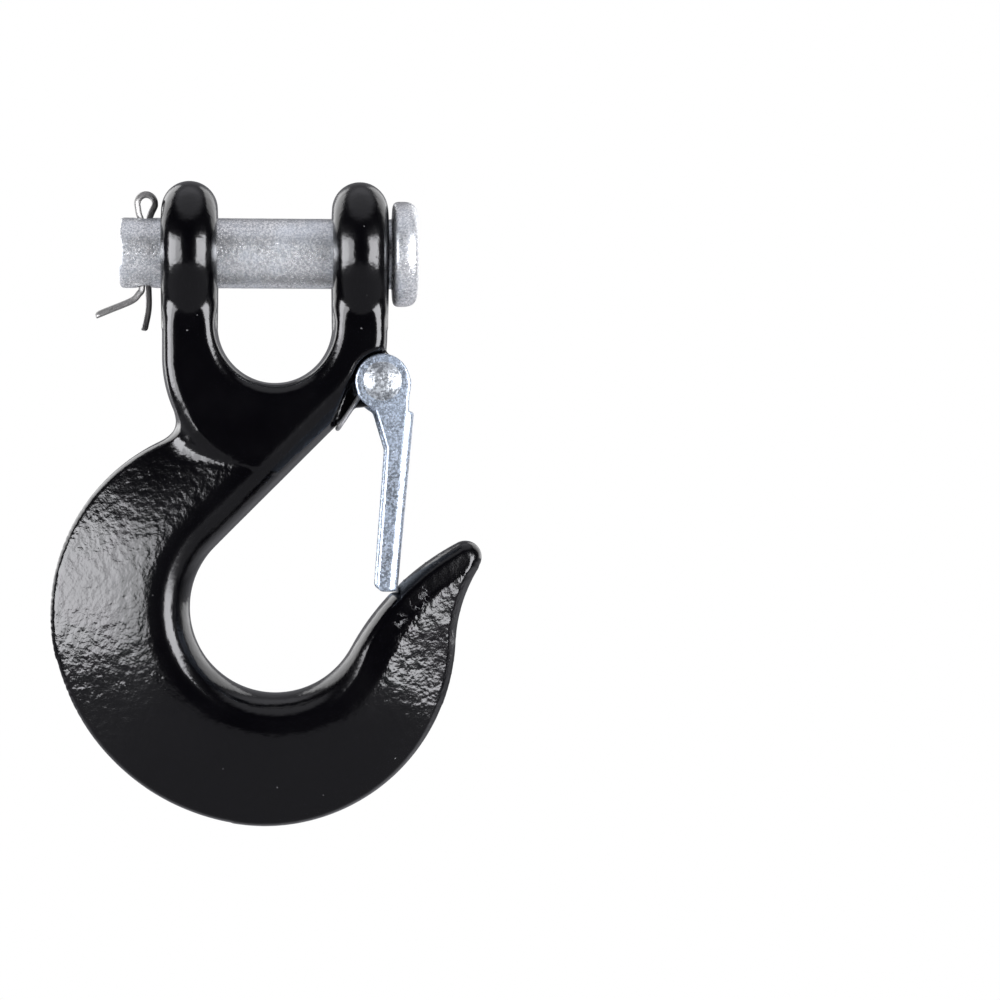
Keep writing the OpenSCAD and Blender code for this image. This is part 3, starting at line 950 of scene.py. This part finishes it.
def softbox(name, azimuth, elevation, wide, tall, radiance, away=0.9, colour=(1, 1, 1)):
    light = bpy.data.lights.new(name, "AREA")
    light.shape = "RECTANGLE"
    light.size = 2 * away * math.tan(math.radians(wide / 2))
    light.size_y = 2 * away * math.tan(math.radians(tall / 2))
    light.energy = radiance * math.pi * light.size * light.size_y
    light.color = colour
    o = bpy.data.objects.new(name, light)
    back = direction(azimuth, elevation)
    o.location = MIDDLE + back * away
    o.rotation_mode = "QUATERNION"
    o.rotation_quaternion = (-back).to_track_quat("-Z", "Y")
    bpy.context.scene.collection.objects.link(o)
    return o


softbox("softbox_left", -59, 4.0, 58, 36, 7.04, colour=(0.985, 0.988, 1.025))
softbox("softbox_left_core", -70, 4.0, 34, 30, 4.07, away=0.88, colour=(0.985, 0.988, 1.025))
softbox("softbox_right", 52.5, 4.0, 41, 36, 11.1, colour=(0.985, 0.988, 1.025))
softbox("softbox_back_left", -140, 20, 40, 50, 1.78)
softbox("softbox_back_right", 140, 20, 40, 50, 1.2)

world = bpy.data.worlds.new("studio")
bpy.context.scene.world = world
world.use_nodes = True
wt = world.node_tree
for n in list(wt.nodes):
    wt.nodes.remove(n)
w_out = wt.nodes.new("ShaderNodeOutputWorld")
w_co = wt.nodes.new("ShaderNodeTexCoord")
w_sep = wt.nodes.new("ShaderNodeSeparateXYZ")
wt.links.new(w_co.outputs["Generated"], w_sep.inputs[0])


def w_span(value, a, b, lo, hi):
    n = wt.nodes.new("ShaderNodeMapRange")
    n.interpolation_type = "SMOOTHSTEP"
    wt.links.new(value, n.inputs["Value"])
    for key, v in (("From Min", a), ("From Max", b), ("To Min", lo), ("To Max", hi)):
        n.inputs[key].default_value = v
    return n.outputs[0]


def w_math(op, a, b):
    n = wt.nodes.new("ShaderNodeMath")
    n.operation = op
    for s, v in ((n.inputs[0], a), (n.inputs[1], b)):
        if isinstance(v, (int, float)):
            s.default_value = v
        else:
            wt.links.new(v, s)
    return n.outputs[0]


# what the surfaces mirror: a pale wall behind, a light ceiling, a dim room on the camera's side
behind = w_span(w_sep.outputs["Y"], 0.1, 0.8, 0.0, 0.222)
above = w_span(w_sep.outputs["Z"], 0.72, 0.90, 0.0, 0.555)
below = w_span(w_sep.outputs["Z"], -0.28, -0.40, 0.0, 0.267)
room = w_math("ADD", w_math("ADD", behind, above), w_math("ADD", below, 0.022))
w_room = wt.nodes.new("ShaderNodeBackground")
wt.links.new(room, w_room.inputs["Strength"])
w_room.inputs["Color"].default_value = (0.96, 0.96, 1.03, 1)
w_seen = wt.nodes.new("ShaderNodeBackground")
w_seen.inputs["Color"].default_value = (1, 1, 1, 1)
w_seen.inputs["Strength"].default_value = 1.0
w_mix = wt.nodes.new("ShaderNodeMixShader")
w_path = wt.nodes.new("ShaderNodeLightPath")
wt.links.new(w_path.outputs["Is Camera Ray"], w_mix.inputs[0])
wt.links.new(w_room.outputs[0], w_mix.inputs[1])
wt.links.new(w_seen.outputs[0], w_mix.inputs[2])
wt.links.new(w_mix.outputs[0], w_out.inputs["Surface"])

cam_data = bpy.data.cameras.new("camera")
cam_data.sensor_width = 36.0
cam_data.lens = 18.0 / math.tan(math.radians(9.3))
cam_data.clip_start, cam_data.clip_end = 0.05, 20
cam = bpy.data.objects.new("camera", cam_data)
cam.location = (-0.0018, -0.5568, -0.0448)
cam.rotation_euler = (math.radians(90), 0, math.radians(-4.4))
bpy.context.scene.collection.objects.link(cam)
bpy.context.scene.camera = cam
bpy.context.scene.view_settings.view_transform = "Standard"
bpy.context.scene.view_settings.look = "None"
